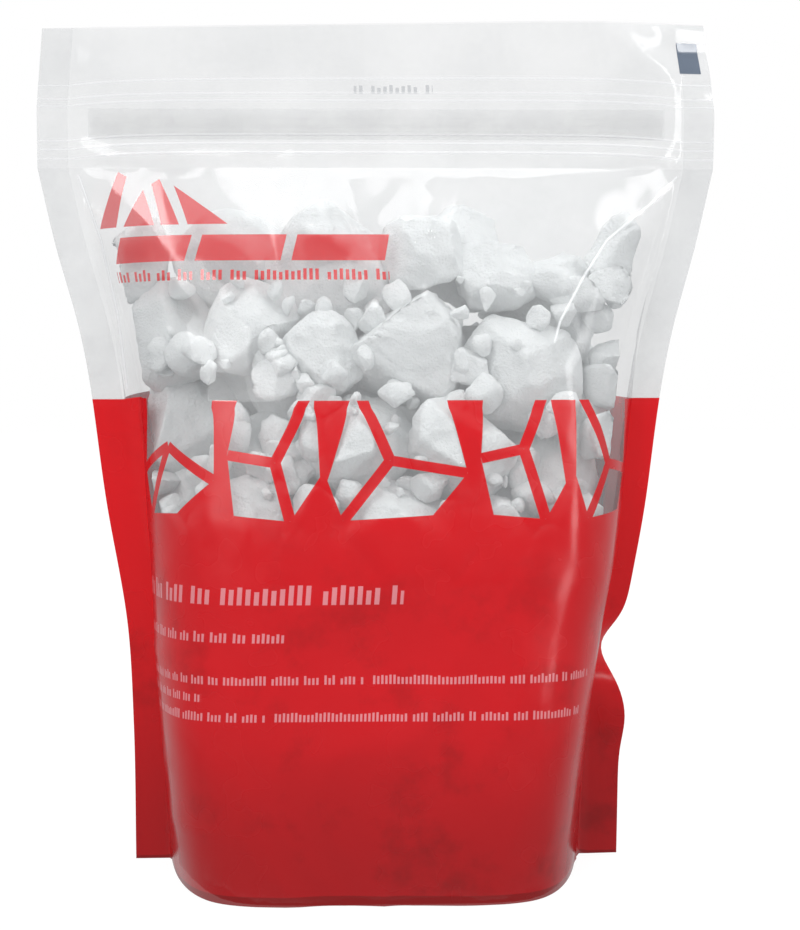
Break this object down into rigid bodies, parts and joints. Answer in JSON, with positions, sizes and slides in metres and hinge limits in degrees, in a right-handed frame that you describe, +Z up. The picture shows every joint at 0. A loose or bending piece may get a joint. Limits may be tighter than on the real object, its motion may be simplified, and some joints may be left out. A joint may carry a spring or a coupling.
{
  "type": "stand-up pouch of crushed chalk",
  "caption": "Clear laminated stand-up pouch of crushed white grip chalk, red-printed below, with a press-to-close zip mouth and a gusseted base.",
  "frame": {"origin": "centre of the base, on the surface that the pouch stands on", "axes": "+Z up, the printed front faces -Y, +X to the right seen from the front"},
  "size_m": [0.2, 0.1028, 0.252],
  "materials": {
    "clear_film": "clear glossy laminated film",
    "printed_film": "glossy film, clear above and printed translucent red below",
    "sealed_film": "two films heat-sealed into one band",
    "zip_plastic": "clear extruded zip profile",
    "lump_chalk": "dry matte chalk with chipped faces",
    "fine_chalk": "loose chalk crumbs and powder"
  },
  "bodies": {
    "pouch": {"front_film": "printed_film", "back_film": "printed_film", "bottom_gusset": "printed_film", "left_side_seal": "sealed_film", "right_side_seal": "sealed_film", "chalk_fines_bed": "fine_chalk", "chalk_lump_01": "lump_chalk", "chalk_lump_02": "lump_chalk", "chalk_lump_03": "lump_chalk", "chalk_lump_04": "lump_chalk", "chalk_lump_05": "lump_chalk", "chalk_lump_06": "lump_chalk", "chalk_lump_07": "lump_chalk", "chalk_lump_08": "lump_chalk", "chalk_lump_09": "lump_chalk", "chalk_lump_10": "lump_chalk", "chalk_lump_11": "lump_chalk", "chalk_lump_12": "lump_chalk", "chalk_lump_13": "lump_chalk", "chalk_lump_14": "lump_chalk", "chalk_lump_15": "lump_chalk", "chalk_lump_16": "lump_chalk", "chalk_lump_17": "lump_chalk", "chalk_lump_18": "lump_chalk", "chalk_lump_19": "lump_chalk", "chalk_lump_20": "lump_chalk", "chalk_lump_21": "lump_chalk", "chalk_lump_22": "lump_chalk", "chalk_lump_23": "lump_chalk", "chalk_lump_24": "lump_chalk", "chalk_lump_25": "lump_chalk", "chalk_lump_26": "lump_chalk", "chalk_lump_27": "lump_chalk", "chalk_lump_28": "lump_chalk", "chalk_lump_29": "lump_chalk", "chalk_lump_30": "lump_chalk", "chalk_lump_31": "lump_chalk", "chalk_lump_32": "lump_chalk", "chalk_lump_33": "lump_chalk", "chalk_lump_34": "lump_chalk", "chalk_lump_35": "lump_chalk", "chalk_lump_36": "lump_chalk", "chalk_lump_37": "lump_chalk", "chalk_lump_38": "lump_chalk", "chalk_lump_39": "lump_chalk", "chalk_lump_40": "lump_chalk", "chalk_lump_41": "lump_chalk", "chalk_lump_42": "lump_chalk", "chalk_lump_43": "lump_chalk", "chalk_lump_44": "lump_chalk"},
    "front_lip": {"front_lip_film": "clear_film", "zip_rib_strip": "zip_plastic"},
    "back_lip": {"back_lip_film": "clear_film", "zip_groove_strip": "zip_plastic"}
  },
  "joints": [
    {"name": "front_lip_open", "type": "hinge", "parent": "pouch", "child": "front_lip", "pos_m": [0, -0.0058, 0.208], "axis": [1, 0, 0], "range_deg": [0, 25]},
    {"name": "back_lip_open", "type": "hinge", "parent": "pouch", "child": "back_lip", "pos_m": [0, 0.0058, 0.208], "axis": [-1, 0, 0], "range_deg": [0, 25]}
  ]
}
